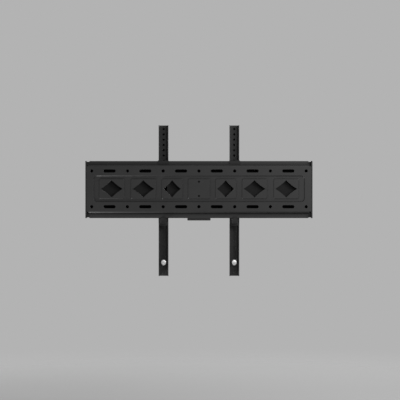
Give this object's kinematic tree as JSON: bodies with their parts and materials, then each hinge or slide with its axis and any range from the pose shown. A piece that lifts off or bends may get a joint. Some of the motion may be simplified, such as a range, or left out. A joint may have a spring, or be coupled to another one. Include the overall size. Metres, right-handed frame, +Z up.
{
  "type": "tilting tv wall mount",
  "caption": "Pressed wall plate with rails, slots and diamond openings; two hooked brackets carry slotted channel arms that shift sideways and tilt.",
  "frame": {"origin": "centre of the wall plate's hole grid, on the wall plane", "axes": "+X along the plate, to the right as seen from the wall side in the picture; +Y from the wall to the arms' front face; +Z up"},
  "size_m": [0.635, 0.079, 0.426],
  "materials": {
    "plate_coat": "satin black powder coat on pressed steel",
    "bracket_coat": "satin black powder coat on folded steel",
    "arm_coat": "satin black powder coat on folded steel",
    "black_plastic": "black moulded plastic",
    "knob_plastic": "black moulded nylon",
    "pad_plastic": "black moulded plastic",
    "disc_plastic": "natural nylon",
    "vial_fluid": "clear acrylic vial with yellow-green fluid",
    "zinc": "bright zinc plate",
    "screw_zinc": "bright zinc plate",
    "plain_steel": "zinc plate",
    "spring_steel": "plated spring wire",
    "brass": "plain brass"
  },
  "bodies": {
    "wall": {"wall_plate": "plate_coat", "end_cap_left": "black_plastic", "end_cap_right": "black_plastic", "level_housing": "black_plastic", "level_cover": "black_plastic", "level_vial": "vial_fluid"},
    "bracket_left": {"hook_bracket_left": "bracket_coat", "pivot_bolt_left": "zinc", "pivot_nut_left": "zinc", "latch_spring_left": "spring_steel"},
    "swing_left": {"arm_left": "arm_coat", "guide_bolt_left": "zinc", "friction_disc_left": "disc_plastic", "arm_screws_left": "screw_zinc", "arm_pads_left": "pad_plastic"},
    "knob_left": {"tilt_knob_left": "knob_plastic", "knob_nut_left": "brass"},
    "catch_left": {"latch_left": "bracket_coat", "latch_keeper_left": "plain_steel"},
    "bracket_right": {"hook_bracket_right": "bracket_coat", "pivot_bolt_right": "zinc", "pivot_nut_right": "zinc", "latch_spring_right": "spring_steel"},
    "swing_right": {"arm_right": "arm_coat", "guide_bolt_right": "zinc", "friction_disc_right": "disc_plastic", "arm_screws_right": "screw_zinc", "arm_pads_right": "pad_plastic"},
    "knob_right": {"tilt_knob_right": "knob_plastic", "knob_nut_right": "brass"},
    "catch_right": {"latch_right": "bracket_coat", "latch_keeper_right": "plain_steel"}
  },
  "joints": [
    {"name": "side_shift_left", "type": "slide", "parent": "wall", "child": "bracket_left", "axis": [-1, 0, 0], "range_m": [-0.042, 0.19]},
    {"name": "tilt_left", "type": "hinge", "parent": "bracket_left", "child": "swing_left", "pos_m": [-0.1, 0.032, -0.07], "axis": [-1, 0, 0], "range_deg": [0, 10]},
    {"name": "knob_turn_left", "type": "hinge", "parent": "swing_left", "child": "knob_left", "pos_m": [-0.12, 0.032, 0.02], "axis": [1, 0, 0], "range_deg": [0, 360]},
    {"name": "latch_pull_left", "type": "slide", "parent": "bracket_left", "child": "catch_left", "axis": [0, 0, -1], "range_m": [0, 0.006], "stiffness_N_per_m": 300, "springref_m": -0.006, "deforming": ["latch_spring_left"]},
    {"name": "side_shift_right", "type": "slide", "parent": "wall", "child": "bracket_right", "axis": [1, 0, 0], "range_m": [-0.042, 0.19]},
    {"name": "tilt_right", "type": "hinge", "parent": "bracket_right", "child": "swing_right", "pos_m": [0.1, 0.032, -0.07], "axis": [-1, 0, 0], "range_deg": [0, 10]},
    {"name": "knob_turn_right", "type": "hinge", "parent": "swing_right", "child": "knob_right", "pos_m": [0.12, 0.032, 0.02], "axis": [-1, 0, 0], "range_deg": [0, 360]},
    {"name": "latch_pull_right", "type": "slide", "parent": "bracket_right", "child": "catch_right", "axis": [0, 0, -1], "range_m": [0, 0.006], "stiffness_N_per_m": 300, "springref_m": -0.006, "deforming": ["latch_spring_right"]}
  ]
}
